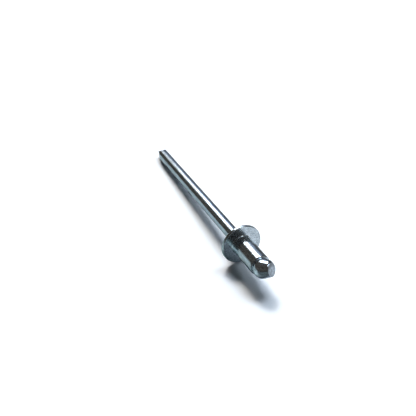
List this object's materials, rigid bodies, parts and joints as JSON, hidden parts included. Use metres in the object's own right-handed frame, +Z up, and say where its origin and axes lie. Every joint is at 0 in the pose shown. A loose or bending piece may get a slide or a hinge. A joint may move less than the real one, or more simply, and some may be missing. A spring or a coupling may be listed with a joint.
{
  "type": "pop rivet",
  "caption": "Open-end steel blind rivet lying on its flange rim and mandrel point: hollow flanged body with its headed mandrel through it, not yet set.",
  "frame": {"origin": "bottom centre of the bounding box, on the surface that the rivet lies on", "axes": "+X along the rivet towards the mandrel's head, +Z up; the rivet's own axis rises 3.7 degrees towards +X because the flange's rim and the mandrel's point rest on the surface"},
  "size_m": [0.0427, 0.0064, 0.0064],
  "materials": {
    "rivet_body": "bright zinc plate, smooth with faint drawing lines and small handling marks",
    "mandrel": "bright drawn steel wire with fine lengthwise lines, sheared at the point"
  },
  "bodies": {
    "root": {"rivet_body": "rivet_body", "mandrel": "mandrel"}
  },
  "joints": []
}
